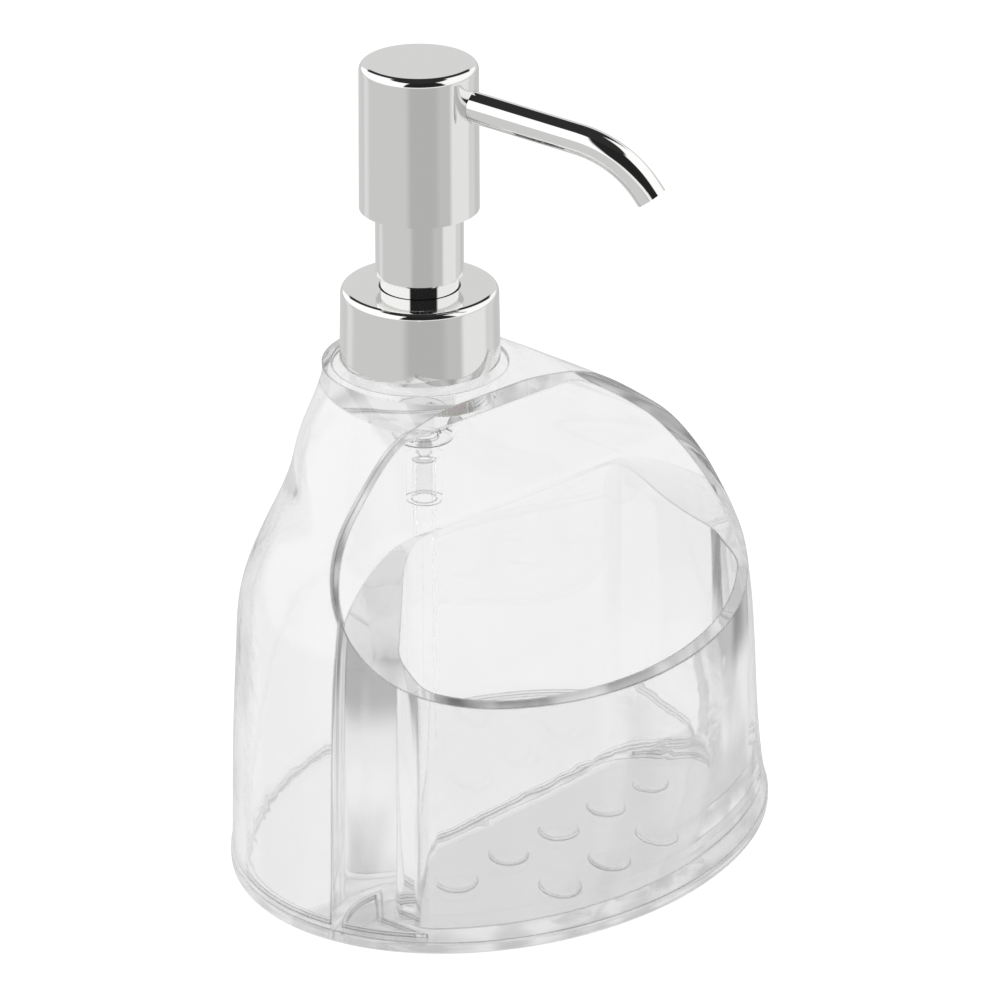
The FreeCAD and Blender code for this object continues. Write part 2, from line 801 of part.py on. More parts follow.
def head_core():
    """The moulded insert that joins stem and spout inside the head."""
    outer = head_bore_radius - core_fit
    ring = ring_between(outer, outer - core_web, core_top - core_depth, core_top)
    lid = ring_between(outer, 0, core_top - core_web, core_top)
    boss = ring_between(core_boss_radius, 0, boss_bottom, core_top)
    solid = ring.fuse([lid, boss])
    for index in range(core_rib_count):
        corner = V(0, -core_web / 2, core_top - core_depth)
        rib = Part.makeBox(outer - core_web / 2, core_web, core_depth, corner)
        rib.rotate(V(0, 0, 0), V(0, 0, 1), 360 * index / core_rib_count)
        solid = solid.fuse(rib)
    ahead = V(0, -1, 0)
    reach = outer - core_web / 2
    tube = Part.makeCylinder(spout_radius + core_web, reach, V(0, 0, spout_exit_height), ahead)
    solid = solid.fuse(tube.common(ring_between(outer, 0, core_top - core_depth, core_top)))
    socket_top = stem_top_height + core_fit
    solid = solid.cut(ring_between(stem_radius + core_fit, 0, boss_bottom - overrun, socket_top))
    start = spout_line()[0]
    solid = solid.cut(ring_between(core_channel_radius, 0, stem_top_height, start.z))
    passage = Part.makeCylinder(core_channel_radius, -start.y + overrun, V(0, 0, start.z), ahead)
    return solid.cut(passage).cut(spout_hole(spout_fit)).removeSplitter()


def main():
    os.makedirs("parts", exist_ok=True)
    reservoir, cells = bottle_voids()
    write("body_shell", body_shell(reservoir, cells))
    write("base_plate", base_plate())
    write("collar_shell", collar_shell())
    write("closure_insert", closure_insert())
    write("neck_gasket", neck_gasket())
    write("pump_housing", pump_housing())
    write("guide_sleeve", guide_sleeve())
    write("chaplet", chaplet())
    write("ball_cage", ball_cage())
    write("inlet_ball", inlet_ball())
    write("dip_tube", dip_tube())
    write("return_spring", return_spring())
    write("stem", stem())
    write("piston", piston())
    write("stem_foot", stem_foot())
    write("outlet_ball", outlet_ball())
    write("head_shell", turned(head_shell()))
    write("head_core", turned(head_core()))
    write("spout", turned(spout()))


main()
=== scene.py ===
import json
import math

import bmesh
import bpy
import numpy as np
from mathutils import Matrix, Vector


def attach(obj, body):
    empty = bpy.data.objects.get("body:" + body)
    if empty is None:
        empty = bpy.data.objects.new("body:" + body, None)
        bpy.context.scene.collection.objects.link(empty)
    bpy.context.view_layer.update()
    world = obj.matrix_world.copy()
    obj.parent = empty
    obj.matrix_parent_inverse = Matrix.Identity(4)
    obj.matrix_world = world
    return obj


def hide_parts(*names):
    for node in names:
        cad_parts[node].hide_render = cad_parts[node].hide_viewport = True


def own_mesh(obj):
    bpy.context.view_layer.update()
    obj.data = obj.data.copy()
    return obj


# A clear soap dispenser with a sponge caddy and a chrome lotion pump, on a white
# table in a white studio. All lengths are metres, in the frame of the solids.

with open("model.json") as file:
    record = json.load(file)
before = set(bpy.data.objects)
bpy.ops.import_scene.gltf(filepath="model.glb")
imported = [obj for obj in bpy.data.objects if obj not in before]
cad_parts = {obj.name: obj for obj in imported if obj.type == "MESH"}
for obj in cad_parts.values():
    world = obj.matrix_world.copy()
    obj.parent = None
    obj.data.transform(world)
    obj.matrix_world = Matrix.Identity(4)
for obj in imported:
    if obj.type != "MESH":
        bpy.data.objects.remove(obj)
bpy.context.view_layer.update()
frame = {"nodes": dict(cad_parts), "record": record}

MM = 0.001
DEGREE = 180 / math.pi
# Points nearer than this are one point
WELD = 1e-7

# Camera, found from the pump's level circles, the foot's oval and the caddy's rim. The
# lens is in millimetres, and the shift is a share of the picture's width
CAMERA_AZIMUTH = math.radians(-42.0)
CAMERA_ELEVATION = math.radians(24.851)
CAMERA_DISTANCE = 1.0
CAMERA_TARGET = Vector((0, -15 * MM, 90 * MM))
CAMERA_LENS = 155.13
CAMERA_SHIFT = (0.0368, -0.0435)
NEAR_CLIP = 0.05
FAR_CLIP = 50.0

# Light that has turned back this often inside a clear wall, or met this many faces, is
# taken as trapped, and fades at this density per metre into a painted glow that stands in for it
TRAPPED_AFTER = 3
LOST_AFTER = 10
TRAPPED_DENSITY = 1500.0
# Half a count, which lies between one whole number of turns or faces and the next
HALF_COUNT = 0.5

# The painted glow's level near the foot and in the walls, and how much more it is near the neck,
# with the heights between which it changes: painted light and shade
PAINTED_GLOW_FOOT = 0.76
PAINTED_GLOW_WALL = 0.33
PAINTED_GLOW_NECK_MORE = 0.34
FOOT_FADE = (36 * MM, 46 * MM)
NECK_FADE = (72 * MM, 95 * MM)
# Its slow waves are so wide, and stand upright, because only a share of the height counts
PAINTED_GLOW_WAVE = 9 * MM
PAINTED_GLOW_WAVE_SHARES = (1.0, 1.0, 0.3)
# They add or take this much, over the part of the noise's range that it seldom leaves
PAINTED_GLOW_SWELL = 0.16
NOISE_MIDDLE = (0.35, 0.65)
# The painted glow's colour
PAINTED_GLOW_COLOUR = "#fdfdfd"

# Moulded edges are this round, which so many rays feel out
EDGE_ROUND = 0.7 * MM
EDGE_RAYS = 4
# An edge starts where the rounded normal's cosine to the flat one is under the first value,
# and is full under the second. There its colour is darkened to this much: painted shade
EDGE_START = 0.985
EDGE_FULL = 0.80
EDGE_PAINTED_SHADE = 0.06
# The floor of the cup, in front of its line, has its colour darkened to this much: painted shade
CUP_PAINTED_SHADE = 0.80
CUP_LINE = -33.6 * MM
CUP_FADE = 1 * MM
# The weld leaves no air between the bottle's foot and the plate
WELD_LAP = 0.03 * MM

# The closure's threads: pitch, half the ridge's width, how far it stands out, and turns
THREAD_PITCH = 4.2 * MM
THREAD_HALF_WIDTH = 1.1 * MM
THREAD_DEPTH = 0.6 * MM
THREAD_TURNS = 1.6
# The neck's and the insert's wall that carry them, and the heights at which they start
NECK_RADIUS = 12.9 * MM
NECK_THREAD_FOOT = 113.6 * MM
INSERT_RADIUS = 14.2 * MM
INSERT_THREAD_FOOT = 115.7 * MM
# Each end tapers over this share of the length, as the square root of a share of the
# section that grows from this one to the whole
THREAD_END_SHARE = 1 / 8
THREAD_TIP_SHARE = 0.02
THREAD_STEPS = 160
THREAD_SIDES = 12

# The table lies just under the foot, and has one glow to the eye and one through plastic
TABLE_DROP = 0.3 * MM
TABLE_HALF = 6.0
TABLE_COLOUR = "#8a8a8a"
TABLE_GLOW = 0.86
THROUGH_GLOW = 0.66

# The studio's even fill, and its two soft lamps: place, side and watts
FILL_LEVEL = 0.75
LAMP_SIDE = 1.2
LEFT_LAMP = (-1.3, -0.3, 1.1)
LEFT_WATTS = 9.0
RIGHT_LAMP = (0.9, -1.0, 1.2)
RIGHT_WATTS = 7.0

# Sockets of a Mix node by number, because several of them share a name
FACTOR = 0
FIRST_VALUE = 2
SECOND_VALUE = 3
FIRST_COLOUR = 6
SECOND_COLOUR = 7
MIXED_VALUE = 0
MIXED_COLOUR = 2


def linear(code):
    """The linear colour of an sRGB hex code, with an alpha of one."""
    parts = [int(code[i:i + 2], 16) / 255 for i in (1, 3, 5)]
    curve = [c / 12.92 if c <= 0.04045 else ((c + 0.055) / 1.055) ** 2.4 for c in parts]
    return (*curve, 1.0)


WHITE = linear("#ffffff")
BLACK = linear("#000000")


def add(tree, kind, links=None, **settings):
    """Add a node, set its properties, and fill its sockets from values or other sockets."""
    node = tree.nodes.new(kind)
    for name, value in settings.items():
        setattr(node, name, value)
    for name, value in (links or {}).items():
        if isinstance(value, bpy.types.NodeSocket):
            tree.links.new(value, node.inputs[name])
        else:
            node.inputs[name].default_value = value
    return node


def blank(name):
    """A new material whose node tree is empty."""
    material = bpy.data.materials.new(name)
    material.use_nodes = True
    material.node_tree.nodes.clear()
    return material, material.node_tree


def peel(tree, wave, height, detail=2.0):
    """A bump from soft noise whose waves are about so long and so high, in metres."""
    place = add(tree, "ShaderNodeTexCoord")
    noise = add(tree, "ShaderNodeTexNoise", {
        "Vector": place.outputs["Object"], "Scale": 1 / wave,
        "Detail": detail, "Roughness": 0.45})
    bump = add(tree, "ShaderNodeBump", {
        "Height": noise.outputs["Fac"], "Strength": 1.0, "Distance": height})
    return noise, bump


def bright_metal(name, code, wave, height, sleek, dull):
    """A metal with a faint swell. Its roughness runs from sleek to dull with that swell."""
    material, tree = blank(name)
    noise, bump = peel(tree, wave, height)
    rough = add(tree, "ShaderNodeMapRange", {
        "Value": noise.outputs["Fac"], "To Min": sleek, "To Max": dull})
    shader = add(tree, "ShaderNodeBsdfPrincipled", {
        "Base Color": linear(code), "Metallic": 1.0,
        "Roughness": rough.outputs["Result"], "Normal": bump.outputs["Normal"]})
    add(tree, "ShaderNodeOutputMaterial", {"Surface": shader.outputs["BSDF"]})
    return material


def chrome_on_abs():
    """Bright chrome plate on moulded ABS: a mirror with the faint swell of the moulding."""
    return bright_metal(
        "chrome_on_abs", "#ebebea", wave=9 * MM, height=0.004 * MM, sleek=0.02, dull=0.06)


def chrome_on_tube():
    """Bright chrome plate on a drawn tube: the same mirror, a little crisper."""
    return bright_metal(
        "chrome_on_tube", "#eeeeed", wave=14 * MM, height=0.003 * MM, sleek=0.015, dull=0.04)


def spring_wire():
    """Drawn stainless wire: bright metal with fine die lines that blur it."""
    return bright_metal(
        "spring_wire", "#c3c4c4", wave=0.25 * MM, height=0.004 * MM, sleek=0.22, dull=0.36)


def painted_edge_shade(tree, rounded):
    """Painted shade along edges: a colour level from the cosine of the rounded normal to
    the flat one, one on open faces, darker down to the painted edge shade's level along rounded
    edges."""
    flat = add(tree, "ShaderNodeNewGeometry")
    bend = add(tree, "ShaderNodeVectorMath", {
        0: rounded, 1: flat.outputs["Normal"]}, operation="DOT_PRODUCT")
    edge = add(tree, "ShaderNodeMapRange", {
        "Value": bend.outputs["Value"], "From Min": EDGE_FULL, "From Max": EDGE_START,
        "To Min": EDGE_PAINTED_SHADE, "To Max": 1.0})
    return edge.outputs["Result"]


def painted_cup_shade(tree, edge):
    """The painted edge shade, times the painted shade of the cup's floor in front of its line."""
    place = add(tree, "ShaderNodeTexCoord")
    split = add(tree, "ShaderNodeSeparateXYZ", {"Vector": place.outputs["Object"]})
    floor = add(tree, "ShaderNodeMapRange", {
        "Value": split.outputs["Y"], "From Min": CUP_LINE - CUP_FADE, "From Max": CUP_LINE,
        "To Min": CUP_PAINTED_SHADE, "To Max": 1.0})
    painted_shade = add(tree, "ShaderNodeMath", {
        0: edge, 1: floor.outputs["Result"]}, operation="MULTIPLY")
    return painted_shade.outputs["Value"]


def trapped_light(tree):
    """One for light that counts as trapped, by its turns or by the faces it met, else zero."""
    path = add(tree, "ShaderNodeLightPath")
    turned = add(tree, "ShaderNodeMath", {
        0: path.outputs["Glossy Depth"], 1: TRAPPED_AFTER - HALF_COUNT},
        operation="GREATER_THAN")
    lost = add(tree, "ShaderNodeMath", {
        0: path.outputs["Ray Depth"], 1: LOST_AFTER - HALF_COUNT},
        operation="GREATER_THAN")
    trapped = add(tree, "ShaderNodeMath", {
        0: turned.outputs["Value"], 1: lost.outputs["Value"]}, operation="MAXIMUM")
    return trapped.outputs["Value"]


def wall_painted_glow(tree):
    """The painted glow's level at each place, painted light and shade: it falls from the foot's
    level to the walls' over FOOT_FADE, rises near the neck over NECK_FADE, and swells in slow
    upright waves."""
    place = add(tree, "ShaderNodeTexCoord")
    split = add(tree, "ShaderNodeSeparateXYZ", {"Vector": place.outputs["Object"]})
    low = add(tree, "ShaderNodeMapRange", {
        "Value": split.outputs["Z"], "From Min": FOOT_FADE[0], "From Max": FOOT_FADE[1],
        "To Min": PAINTED_GLOW_FOOT, "To Max": PAINTED_GLOW_WALL}, interpolation_type="SMOOTHSTEP")
    high = add(tree, "ShaderNodeMapRange", {
        "Value": split.outputs["Z"], "From Min": NECK_FADE[0], "From Max": NECK_FADE[1],
        "To Min": 0.0, "To Max": PAINTED_GLOW_NECK_MORE}, interpolation_type="SMOOTHSTEP")
    drawn = add(tree, "ShaderNodeVectorMath", {
        0: place.outputs["Object"], 1: PAINTED_GLOW_WAVE_SHARES}, operation="MULTIPLY")
    waves = add(tree, "ShaderNodeTexNoise", {
        "Vector": drawn.outputs["Vector"], "Scale": 1 / PAINTED_GLOW_WAVE, "Detail": 1.0})
    swell = add(tree, "ShaderNodeMapRange", {
        "Value": waves.outputs["Fac"], "From Min": NOISE_MIDDLE[0], "From Max": NOISE_MIDDLE[1],
        "To Min": -PAINTED_GLOW_SWELL, "To Max": PAINTED_GLOW_SWELL}, interpolation_type="SMOOTHSTEP")
    base = add(tree, "ShaderNodeMath", {
        0: low.outputs["Result"], 1: high.outputs["Result"]}, operation="ADD")
    painted_glow = add(tree, "ShaderNodeMath", {
        0: base.outputs["Value"], 1: swell.outputs["Result"]}, operation="ADD")
    return painted_glow.outputs["Value"]


def clear_inside(tree, absorb, even_painted_glow):
    """What fills clear plastic: it absorbs a little, and where light is trapped, it takes that
    light and gives a painted glow in its place, by the density times the glow's level."""
    density = add(tree, "ShaderNodeMapRange", {
        "Value": trapped_light(tree), "To Min": absorb, "To Max": TRAPPED_DENSITY})
    strength = add(tree, "ShaderNodeMath", {
        0: density.outputs["Result"], 1: even_painted_glow or wall_painted_glow(tree)}, operation="MULTIPLY")
    tint = add(tree, "ShaderNodeVolumeAbsorption", {
        "Color": BLACK, "Density": density.outputs["Result"]})
    # The painted glow: the plastic gives off light in place of the trapped light
    glow = add(tree, "ShaderNodeEmission", {
        "Color": linear(PAINTED_GLOW_COLOUR), "Strength": strength.outputs["Value"]})
    both = add(tree, "ShaderNodeAddShader", {
        0: tint.outputs["Volume"], 1: glow.outputs["Emission"]})
    return both.outputs["Shader"]


def clear_moulding(name, index, absorb, wave, height, cup=False, even_painted_glow=None, body=1.0):
    """Clear plastic or glass: it refracts and swells faintly. Painted shade darkens its colour
    along its rounded edges and, where it is the cup's floor, there too. Its painted glow changes
    from place to place unless it is given as one level, and body is how much of the surface is
    there."""
    material, tree = blank(name)
    _, bump = peel(tree, wave, height, 1.0)
    rounded = add(tree, "ShaderNodeBevel", {"Radius": EDGE_ROUND}, samples=EDGE_RAYS)
    tree.links.new(rounded.outputs["Normal"], bump.inputs["Normal"])
    # Painted shade in the colour, along rounded edges
    painted_shade = painted_edge_shade(tree, rounded.outputs["Normal"])
    # Painted shade on the cup's floor, in front of its line
    if cup:
        painted_shade = painted_cup_shade(tree, painted_shade)
    shader = add(tree, "ShaderNodeBsdfPrincipled", {
        "Base Color": painted_shade, "Roughness": 0.0, "IOR": index,
        "Transmission Weight": 1.0, "Alpha": body, "Normal": bump.outputs["Normal"]})
    add(tree, "ShaderNodeOutputMaterial", {
        "Surface": shader.outputs["BSDF"], "Volume": clear_inside(tree, absorb, even_painted_glow)})
    return material


def styrene(name, cup=False):
    """Injection-moulded styrene, glass clear and hard, with long faint swells of the mould."""
    return clear_moulding(
        name, index=1.57, absorb=6.0, wave=60 * MM, height=0.003 * MM, cup=cup)


def pump_tube(name, body=1.0):
    """Thin moulded polypropylene of a clear grade, for the pump's inner parts. Its index is
    far below the real one, because the photograph doesn't show them through the bottle."""
    # One even level of painted glow
    return clear_moulding(
        name, index=1.05, absorb=1.0, wave=20 * MM, height=0.0, even_painted_glow=0.90, body=body)


def glass_bead():
    """Ground and polished soda-lime glass of the two valve balls: clear and even."""
    # One even level of painted glow
    return clear_moulding(
        "glass_bead", index=1.50, absorb=5.0, wave=10 * MM, height=0.0, even_painted_glow=0.90)


def polypropylene(name, code, milkiness):
    """Moulded polypropylene, waxy and softly shining, with a fine mould grain."""
    material, tree = blank(name)
    _, bump = peel(tree, 0.9 * MM, 0.006 * MM)
    shader = add(tree, "ShaderNodeBsdfPrincipled", {
        "Base Color": linear(code), "Roughness": 0.42, "IOR": 1.49,
        "Subsurface Weight": milkiness, "Subsurface Scale": 1.5 * MM,
        "Normal": bump.outputs["Normal"]})
    add(tree, "ShaderNodeOutputMaterial", {"Surface": shader.outputs["BSDF"]})
    return material


def seal_foam():
    """Pressed polyethylene foam: dull, off white and finely pitted."""
    material, tree = blank("seal_foam")
    noise, bump = peel(tree, 0.4 * MM, 0.05 * MM, 4.0)
    shade = add(tree, "ShaderNodeMix", {
        FACTOR: noise.outputs["Fac"], FIRST_COLOUR: linear("#d5d4cf"),
        SECOND_COLOUR: linear("#f0efea")}, data_type="RGBA")
    shader = add(tree, "ShaderNodeBsdfPrincipled", {
        "Base Color": shade.outputs[MIXED_COLOUR], "Roughness": 0.8,
        "Normal": bump.outputs["Normal"]})
    add(tree, "ShaderNodeOutputMaterial", {"Surface": shader.outputs["BSDF"]})
    return material


FINISHES = {
    "clear_plastic": styrene("clear_styrene"),
    # The plate's finish, with the painted shade of the cup's floor
    "clear_base": styrene("clear_base", cup=True),
    "clear_pump_plastic": pump_tube("clear_tube"),
    "thin_tube": pump_tube("thin_tube", body=0.4),
    "natural_plastic": polypropylene("natural_polypropylene", "#ecebe6", milkiness=0.6),
    "white_plastic": polypropylene("white_polypropylene", "#eeeeea", milkiness=0.2),
    "chrome_plated_plastic": chrome_on_abs(),
    "chrome_tube": chrome_on_tube(),
    "seal_rubber": seal_foam(),
    "spring_steel": spring_wire(),
    "ball_glass": glass_bead(),
}
# Two solids whose finish isn't that of their slot: the plate, which is the cup's floor and takes
# its painted shade, and the dip tube, which the photograph doesn't show
OWN_FINISHES = {"base_plate": "clear_base", "dip_tube": "thin_tube"}


def dress(piece, finish):
    """Give a piece that finish and nothing else."""
    piece.data.materials.clear()
    piece.data.materials.append(FINISHES[finish])


def dress_solids():
    """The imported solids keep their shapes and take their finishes. Clear ones cast no shadow."""
    for row in frame["record"]["subparts"]:
        node = frame["nodes"][row["node"]]
        slot = row["material_slot"]
        dress(node, OWN_FINISHES.get(row["node"], slot))
        node.visible_shadow = not slot.startswith("clear")


def new_piece(name, mesh, slot):
    """An object at the origin that holds the mesh, in its slot's finish."""
    piece = bpy.data.objects.new(name, mesh)
    bpy.context.scene.collection.objects.link(piece)
    dress(piece, slot)
    return piece


def merged_solid(node):
    """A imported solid's points, with those that agree to WELD merged, the points of each of
    its triangles, and the normal at each triangle's corners."""
    source = frame["nodes"][node].data
    places = np.empty(3 * len(source.vertices))
    source.vertices.foreach_get("co", places)
    corners = np.empty(len(source.loops), int)
    source.loops.foreach_get("vertex_index", corners)
    normals = np.empty(3 * len(source.loops))
    source.corner_normals.foreach_get("vector", normals)
    places = places.reshape(-1, 3)
    grid = np.round(places / WELD)
    _, first, merged = np.unique(grid, axis=0, return_index=True, return_inverse=True)
    faces = merged.ravel()[corners].reshape(-1, 3)
    return places[first], faces, normals.reshape(-1, 3, 3)


def joined(labels, faces):
    """Give all points that faces join the same label, the lowest of theirs."""
    while True:
        merged = labels.copy()
        np.minimum.at(merged, faces.ravel(), np.repeat(labels[faces].min(1), 3))
        merged = merged[merged]
        if np.array_equal(merged, labels):
            return labels
        labels = merged


def close_mouths(mesh):
    """Drop the points without a face, close each loop of open edges with a flat face, and
    turn the faces outwards. Returns how many corners the new faces have."""
    shape = bmesh.new()
    shape.from_mesh(mesh)
    loose = [point for point in shape.verts if not point.link_faces]
    bmesh.ops.delete(shape, geom=loose, context="VERTS")
    mouths = [edge for edge in shape.edges if edge.is_boundary]
    lids = bmesh.ops.holes_fill(shape, edges=mouths, sides=0)["faces"]
    bmesh.ops.recalc_face_normals(shape, faces=shape.faces)
    shape.to_mesh(mesh)
    added = sum(len(lid.verts) for lid in lids)
    shape.free()
    return added


def bottle_moulding():
    """The bottle with its corners beside the cup solid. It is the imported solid's own mesh,
    less the faces of the two side cells, which are joined to nothing but the foot, and with
    the mouth of each cell in the foot closed by a flat face. The foot is let into the plate
    by the weld's lap. The normals stay those of the solid, and point down on the new faces."""
    points, faces, normals = merged_solid("body_shell")
    low = points[:, 2] < points[:, 2].min() + WELD
    foot = low[faces].all(1)
    points[low, 2] -= WELD_LAP
    labels = joined(np.arange(len(points)), faces[~foot])[faces[:, 0]]
    names, sizes = np.unique(labels[~foot], return_counts=True)
    kept = foot | (labels == names[sizes.argmax()])
    mesh = bpy.data.meshes.new("bottle_moulding")
    mesh.from_pydata(points.tolist(), [], faces[kept].tolist())
    added = close_mouths(mesh)
    mesh.shade_smooth()
    down = np.tile((0.0, 0.0, -1.0), (added, 1))
    turns = np.vstack([normals[kept].reshape(-1, 3), down])
    mesh.normals_split_custom_set(turns.tolist())
    piece = new_piece("bottle_moulding", mesh, "clear_plastic")
    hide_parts("body_shell")
    piece.visible_shadow = False
    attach(piece, "bottle")


def spring_coil():
    """The return spring's own mesh with its points merged, riding with the pump body."""
    shape = bmesh.new()
    shape.from_mesh(frame["nodes"]["return_spring"].data)
    bmesh.ops.remove_doubles(shape, verts=shape.verts, dist=WELD)
    mesh = bpy.data.meshes.new("spring_coil")
    shape.to_mesh(mesh)
    shape.free()
    mesh.shade_smooth()
    piece = new_piece("spring_coil", mesh, "spring_steel")
    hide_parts("return_spring")
    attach(piece, "pump_body")
    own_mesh(piece)


def grid_piece(name, points, body, slot):
    """A mesh from a grid of points that closes round its second direction, with end caps."""
    rows, columns, _ = points.shape
    index = np.arange(rows * columns).reshape(rows, columns)
    here = index[:-1]
    above = index[1:]
    sides = np.stack([here, above, np.roll(above, -1, 1), np.roll(here, -1, 1)], -1)
    caps = [index[0].tolist(), index[-1][::-1].tolist()]
    mesh = bpy.data.meshes.new(name)
    mesh.from_pydata(points.reshape(-1, 3).tolist(), [], sides.reshape(-1, 4).tolist() + caps)
    mesh.validate()
    mesh.shade_smooth()
    piece = new_piece(name, mesh, slot)
    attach(piece, body)


def thread(name, body, slot, wall, crest, foot):
    """A screw thread of a 28 mm closure. Along the helix, the height rises from the foot by
    the pitch each turn. Its section is an oval round the wall's radius: across, its cosine
    reaches the crest on one side and as deep into the wall on the other, and upright, its
    sine spans the ridge's width. The oval shrinks towards both ends by a square root."""
    along = np.linspace(0, 1, THREAD_STEPS)[:, None]
    around = np.linspace(0, 2 * math.pi, THREAD_SIDES, endpoint=False)[None, :]
    angle = 2 * math.pi * THREAD_TURNS * along
    nearest_end = np.minimum(along, 1 - along)
    taper = np.clip(nearest_end / THREAD_END_SHARE, THREAD_TIP_SHARE, 1) ** 0.5
    climb = THREAD_PITCH * THREAD_TURNS * along
    radius = wall + (crest - wall) * taper * np.cos(around)
    height = foot + climb + THREAD_HALF_WIDTH * taper * np.sin(around)
    points = np.stack([radius * np.cos(angle), radius * np.sin(angle), height], -1)
    grid_piece(name, points, body, slot)


def threads():
    """The neck's outer thread and the insert's inner one, clear of each other."""
    thread("neck_thread", "bottle", "clear_plastic",
           NECK_RADIUS, NECK_RADIUS + THREAD_DEPTH, NECK_THREAD_FOOT)
    thread("insert_thread", "collar", "white_plastic",
           INSERT_RADIUS, INSERT_RADIUS - THREAD_DEPTH, INSERT_THREAD_FOOT)


def aimed(name, data, place, way):
    """A camera or lamp that stands at a place and looks along a way."""
    rig = bpy.data.objects.new(name, data)
    rig.location = place
    rig.rotation_mode = "QUATERNION"
    rig.rotation_quaternion = way.to_track_quat("-Z", "Y")
    bpy.context.scene.collection.objects.link(rig)
    return rig


def camera():
    """The photograph's camera: a long lens from the front left, a little above."""
    data = bpy.data.cameras.new("camera")
    data.lens = CAMERA_LENS
    data.shift_x, data.shift_y = CAMERA_SHIFT
    data.clip_start = NEAR_CLIP
    data.clip_end = FAR_CLIP
    back = Vector((
        math.sin(CAMERA_AZIMUTH) * math.cos(CAMERA_ELEVATION),
        -math.cos(CAMERA_AZIMUTH) * math.cos(CAMERA_ELEVATION),
        math.sin(CAMERA_ELEVATION),
    ))
    place = CAMERA_TARGET + CAMERA_DISTANCE * back
    bpy.context.scene.camera = aimed("camera", data, place, -back)


# What the studio looks like in each direction, in degrees: turned from the camera's side
# to its right, and up from the horizon. Each row is left, right, bottom, top, soft edge,
# level, and a later row covers those before it. No direction is past these:
ROUND = 400
UP = 91
DOWN = -91
# A soft edge is no softer than this in height
HEIGHT_SOFT = 2.0
# Mirrors see this table
MIRRORED = (
    # The table, all round and then in stretches from left to right
    (-ROUND, ROUND, DOWN, 1, 1.0, 0.68),
    (-128, -112, DOWN, 1, 6.0, 0.82),
    (-20, 44, DOWN, 1, 8.0, 0.52),
    (36, 64, DOWN, 1, 8.0, 0.60),
    (64, 112, DOWN, 1, 5.0, 0.90),
    (112, 134, DOWN, 1, 8.0, 0.75),
    (134, ROUND, DOWN, 1, 8.0, 0.63),
    # The walls, then a soft box to the left and one to the right
    (-ROUND, ROUND, 1, UP, 1.0, 0.76),
    (-150, -26, 5, 62, 3.0, 1.25),
    (54, 152, 12, 62, 3.0, 1.15),
    # On the camera's side a bright strip, with the dark over it
    (-28, 52, 1, 12, 3.0, 1.0),
    (-28, 52, 12, UP, 3.0, 0.02),
    # The dark high up on the far side, left and right, and overhead
    (-ROUND, -142, 30, UP, 4.0, 0.03),
    (142, ROUND, 30, UP, 4.0, 0.03),
    (-ROUND, ROUND, 62, UP, 4.0, 0.03),
)
# Rays that have passed through clear plastic see this one
REFRACTED = (
    # All of it, and what is above the table
    (-ROUND, ROUND, DOWN, UP, 1.0, 0.86),
    (-ROUND, ROUND, -2, UP, 2.0, 0.90),
    # On the camera's side, a grey card to the left and a white one to the right
    (-60, 10, 5, 50, 6.0, 0.40),
    (30, 70, 0, 60, 6.0, 0.95),
    # On the far side, a grey card to the right and a pale one to the left
    (110, 150, -2, 40, 6.0, 0.34),
    (-140, -100, 0, 40, 6.0, 0.80),
)


def band(tree, angle, low, high, soft):
    """One inside an angle's range and zero outside it: a soft rise times a soft fall."""
    rise = add(tree, "ShaderNodeMapRange", {
        "Value": angle, "From Min": low - soft, "From Max": low + soft},
        interpolation_type="SMOOTHSTEP")
    fall = add(tree, "ShaderNodeMapRange", {
        "Value": angle, "From Min": high - soft, "From Max": high + soft,
        "To Min": 1.0, "To Max": 0.0}, interpolation_type="SMOOTHSTEP")
    both = add(tree, "ShaderNodeMath", {
        0: rise.outputs["Result"], 1: fall.outputs["Result"]}, operation="MULTIPLY")
    return both.outputs["Value"]


def surroundings(tree, table):
    """The level of the studio in each direction: from a direction's angle round the upright
    and its angle up, each row of the table lays its level over the rows before it."""
    place = add(tree, "ShaderNodeTexCoord")
    split = add(tree, "ShaderNodeSeparateXYZ", {"Vector": place.outputs["Generated"]})
    flat = add(tree, "ShaderNodeMath", {
        0: split.outputs["X"], 1: split.outputs["Y"]}, operation="ARCTAN2")
    rise = add(tree, "ShaderNodeMath", {0: split.outputs["Z"]}, operation="ARCSINE")
    up = add(tree, "ShaderNodeMath", {
        0: rise.outputs["Value"], 1: DEGREE}, operation="MULTIPLY")
    # The camera's side lies at the azimuth's angle from -Y; X over Y gives the angle from +Y
    centre = math.pi - CAMERA_AZIMUTH
    turned = add(tree, "ShaderNodeMath", {
        0: centre, 1: flat.outputs["Value"]}, operation="SUBTRACT")
    wrapped = add(tree, "ShaderNodeMath", {
        0: turned.outputs["Value"], 1: -math.pi, 2: math.pi}, operation="WRAP")
    side = add(tree, "ShaderNodeMath", {
        0: wrapped.outputs["Value"], 1: DEGREE}, operation="MULTIPLY")
    level = 0.0
    for left, right, low, high, soft, value in table:
        mask = add(tree, "ShaderNodeMath", {
            0: band(tree, side.outputs["Value"], left, right, soft),
            1: band(tree, up.outputs["Value"], low, high, min(soft, HEIGHT_SOFT))},
            operation="MULTIPLY")
        mix = add(tree, "ShaderNodeMix", {
            FACTOR: mask.outputs["Value"], FIRST_VALUE: level, SECOND_VALUE: value},
            data_type="FLOAT")
        level = mix.outputs[MIXED_VALUE]
    return level


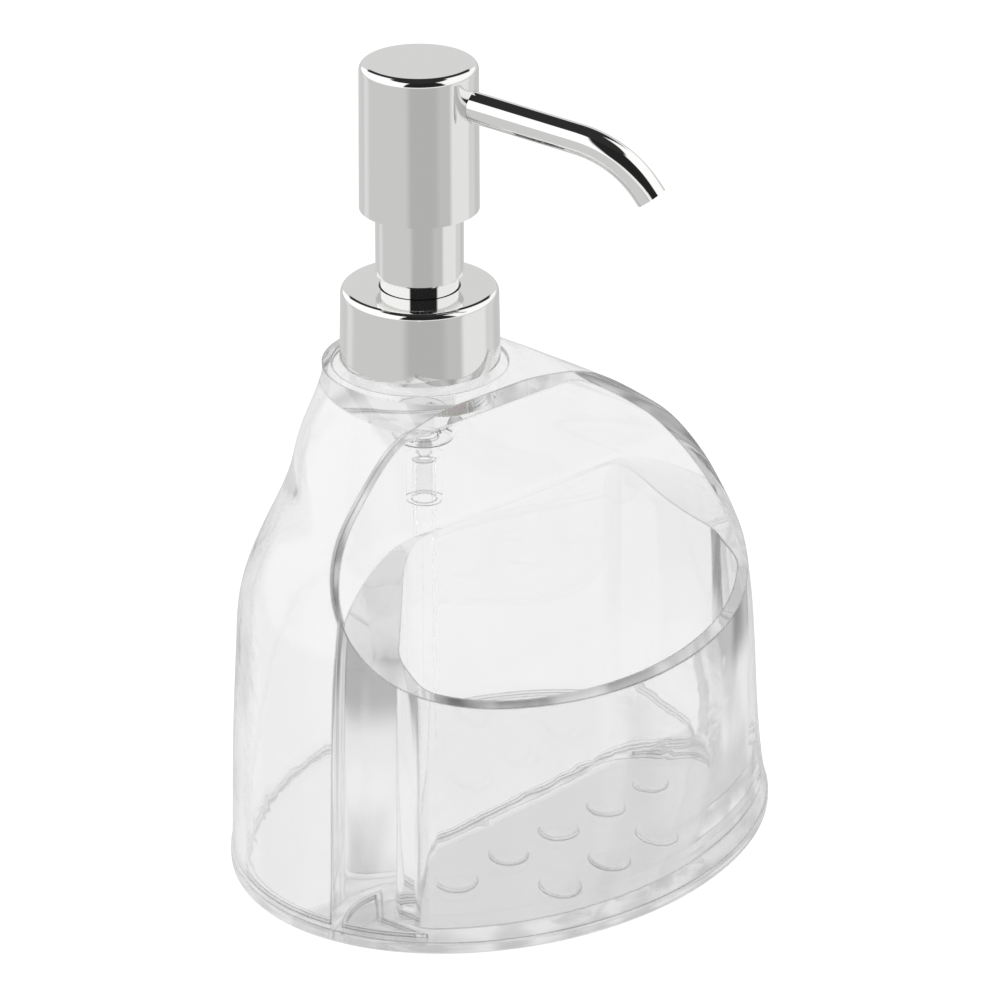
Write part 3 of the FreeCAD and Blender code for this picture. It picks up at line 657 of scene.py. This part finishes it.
def studio():
    """A white world to the eye, soft boxes and dark gaps to gloss, an even fill to the rest."""
    world = bpy.data.worlds.new("studio")
    bpy.context.scene.world = world
    world.use_nodes = True
    tree = world.node_tree
    tree.nodes.clear()
    path = add(tree, "ShaderNodeLightPath")
    gloss = surroundings(tree, MIRRORED)
    through = surroundings(tree, REFRACTED)
    behind = add(tree, "ShaderNodeMath", {
        0: path.outputs["Transmission Depth"], 1: HALF_COUNT}, operation="GREATER_THAN")
    level = add(tree, "ShaderNodeMix", {
        FACTOR: behind.outputs["Value"], FIRST_VALUE: gloss, SECOND_VALUE: through},
        data_type="FLOAT")
    seen = add(tree, "ShaderNodeMix", {
        FACTOR: path.outputs["Is Camera Ray"], FIRST_VALUE: level.outputs[MIXED_VALUE],
        SECOND_VALUE: 1.0}, data_type="FLOAT")
    soft = add(tree, "ShaderNodeMix", {
        FACTOR: path.outputs["Is Diffuse Ray"], FIRST_VALUE: seen.outputs[MIXED_VALUE],
        SECOND_VALUE: FILL_LEVEL}, data_type="FLOAT")
    glow = add(tree, "ShaderNodeBackground", {
        "Color": WHITE, "Strength": soft.outputs[MIXED_VALUE]})
    add(tree, "ShaderNodeOutputWorld", {"Surface": glow.outputs["Background"]})


def white_table():
    """Matt white laminate: plain paint that takes the shadow, with a glow that brings it to
    the backdrop's white, one level to the eye and one through clear plastic."""
    material, tree = blank("white_table")
    path = add(tree, "ShaderNodeLightPath")
    through = add(tree, "ShaderNodeMath", {
        0: path.outputs["Is Transmission Ray"], 1: THROUGH_GLOW}, operation="MULTIPLY")
    strength = add(tree, "ShaderNodeMath", {
        0: path.outputs["Is Camera Ray"], 1: TABLE_GLOW, 2: through.outputs["Value"]},
        operation="MULTIPLY_ADD")
    paint = add(tree, "ShaderNodeBsdfDiffuse", {"Color": linear(TABLE_COLOUR)})
    glow = add(tree, "ShaderNodeEmission", {
        "Color": WHITE, "Strength": strength.outputs["Value"]})
    both = add(tree, "ShaderNodeAddShader", {
        0: paint.outputs["BSDF"], 1: glow.outputs["Emission"]})
    add(tree, "ShaderNodeOutputMaterial", {"Surface": both.outputs["Shader"]})
    return material


def table_top():
    """A square of white table that keeps a faint shadow. Mirrors see the studio in its place."""
    half = TABLE_HALF
    mesh = bpy.data.meshes.new("table_top")
    corners = [(-half, -half, -TABLE_DROP), (half, -half, -TABLE_DROP),
               (half, half, -TABLE_DROP), (-half, half, -TABLE_DROP)]
    mesh.from_pydata(corners, [], [(0, 1, 2, 3)])
    mesh.materials.append(white_table())
    floor = bpy.data.objects.new("table_top", mesh)
    bpy.context.scene.collection.objects.link(floor)
    floor.visible_glossy = False


def lamp(name, place, watts):
    """A soft square lamp that points at the dispenser and isn't seen itself."""
    data = bpy.data.lights.new(name, "AREA")
    data.shape = "SQUARE"
    data.size = LAMP_SIDE
    data.energy = watts
    rig = aimed(name, data, place, CAMERA_TARGET - Vector(place))
    rig.visible_glossy = False
    rig.visible_camera = False
    rig.visible_transmission = False


def lamps():
    """Two soft lamps above the table, left and right of the dispenser."""
    lamp("left_lamp", LEFT_LAMP, LEFT_WATTS)
    lamp("right_lamp", RIGHT_LAMP, RIGHT_WATTS)


dress_solids()
bottle_moulding()
spring_coil()
threads()
camera()
studio()
table_top()
lamps()

bpy.context.scene.view_settings.view_transform = "Standard"
